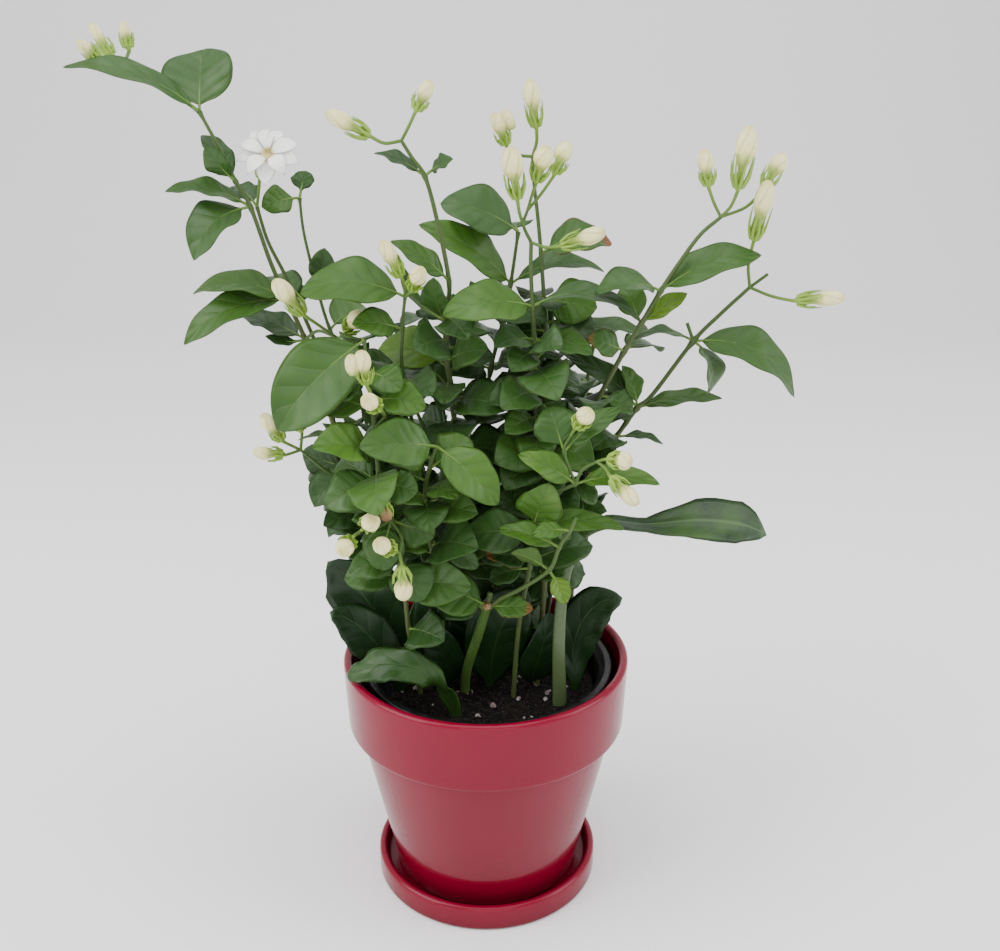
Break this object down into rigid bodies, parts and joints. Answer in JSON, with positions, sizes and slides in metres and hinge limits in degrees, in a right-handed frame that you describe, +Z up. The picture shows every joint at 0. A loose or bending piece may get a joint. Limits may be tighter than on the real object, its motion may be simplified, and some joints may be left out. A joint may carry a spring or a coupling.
{
  "type": "potted arabian jasmine",
  "caption": "Bushy arabian jasmine with cream buds and an open white flower, in a black grow pot inside a glazed red pot that stands on its saucer.",
  "frame": {"origin": "centre of the saucer's flat underside, on the surface that the pot stands on", "axes": "+Z up along the pot's axis; -Y towards the picture's camera; +X to the right in the picture"},
  "size_m": [0.3884, 0.1868, 0.487],
  "materials": {
    "red_glaze": "glossy",
    "black_plastic": "satin",
    "potting_soil": "rough",
    "jasmine_green": "satin",
    "basal_green": "satin",
    "bloom_cream": "matte",
    "dried_bud": "matte"
  },
  "bodies": {
    "root": {"saucer": "red_glaze", "pot": "red_glaze", "grow_pot": "black_plastic", "soil": "potting_soil", "shoot_left_tall": "jasmine_green", "shoot_left_flower": "jasmine_green", "shoot_left_centre": "jasmine_green", "shoot_centre": "jasmine_green", "shoot_centre_back": "jasmine_green", "shoot_centre_left": "jasmine_green", "shoot_right": "jasmine_green", "shoot_far_right": "jasmine_green", "shoot_stump": "jasmine_green", "shoot_front_right": "jasmine_green", "shoot_front": "jasmine_green", "shoot_front_left": "jasmine_green", "shoot_back_left": "jasmine_green", "shoot_back_right": "jasmine_green", "basal_leaf_right_long": "basal_green", "basal_leaf_right_inner": "basal_green", "basal_leaf_middle": "basal_green", "basal_leaf_over_rim": "basal_green", "basal_leaf_left_upper": "basal_green", "basal_leaf_left_lower": "basal_green", "basal_leaf_inner_left": "basal_green", "bud_far_left_upper": "bloom_cream", "bud_far_left_lower": "bloom_cream", "bud_far_left_single": "bloom_cream", "bud_left_upper": "bloom_cream", "bud_left_upper_right": "bloom_cream", "bud_left_lower_curved": "bloom_cream", "bud_left_lower_flat": "bloom_cream", "bud_left_lower_small": "bloom_cream", "bud_left_centre_side": "bloom_cream", "bud_left_centre_top": "bloom_cream", "bud_mid_left_tall": "bloom_cream", "bud_mid_left_round": "bloom_cream", "bud_centre_big": "bloom_cream", "bud_centre_round": "bloom_cream", "bud_centre_right": "bloom_cream", "bud_centre_flat": "bloom_cream", "bud_centre_top": "bloom_cream", "bud_centre_pair": "bloom_cream", "bud_right_left": "bloom_cream", "bud_right_tall": "bloom_cream", "bud_right_back": "bloom_cream", "bud_far_right_upper": "bloom_cream", "bud_far_right_flat": "bloom_cream", "bud_front_right_upper": "bloom_cream", "bud_front_right_round": "bloom_cream", "bud_front_right_lower": "bloom_cream", "bud_front_left_upper": "bloom_cream", "bud_front_left_lower": "bloom_cream", "bud_front_left_right": "bloom_cream", "bud_front_left_hanging": "bloom_cream", "bud_mid_pair": "bloom_cream", "bud_mid_round": "bloom_cream", "bud_dried": "dried_bud", "flower_open": "bloom_cream"}
  },
  "joints": []
}
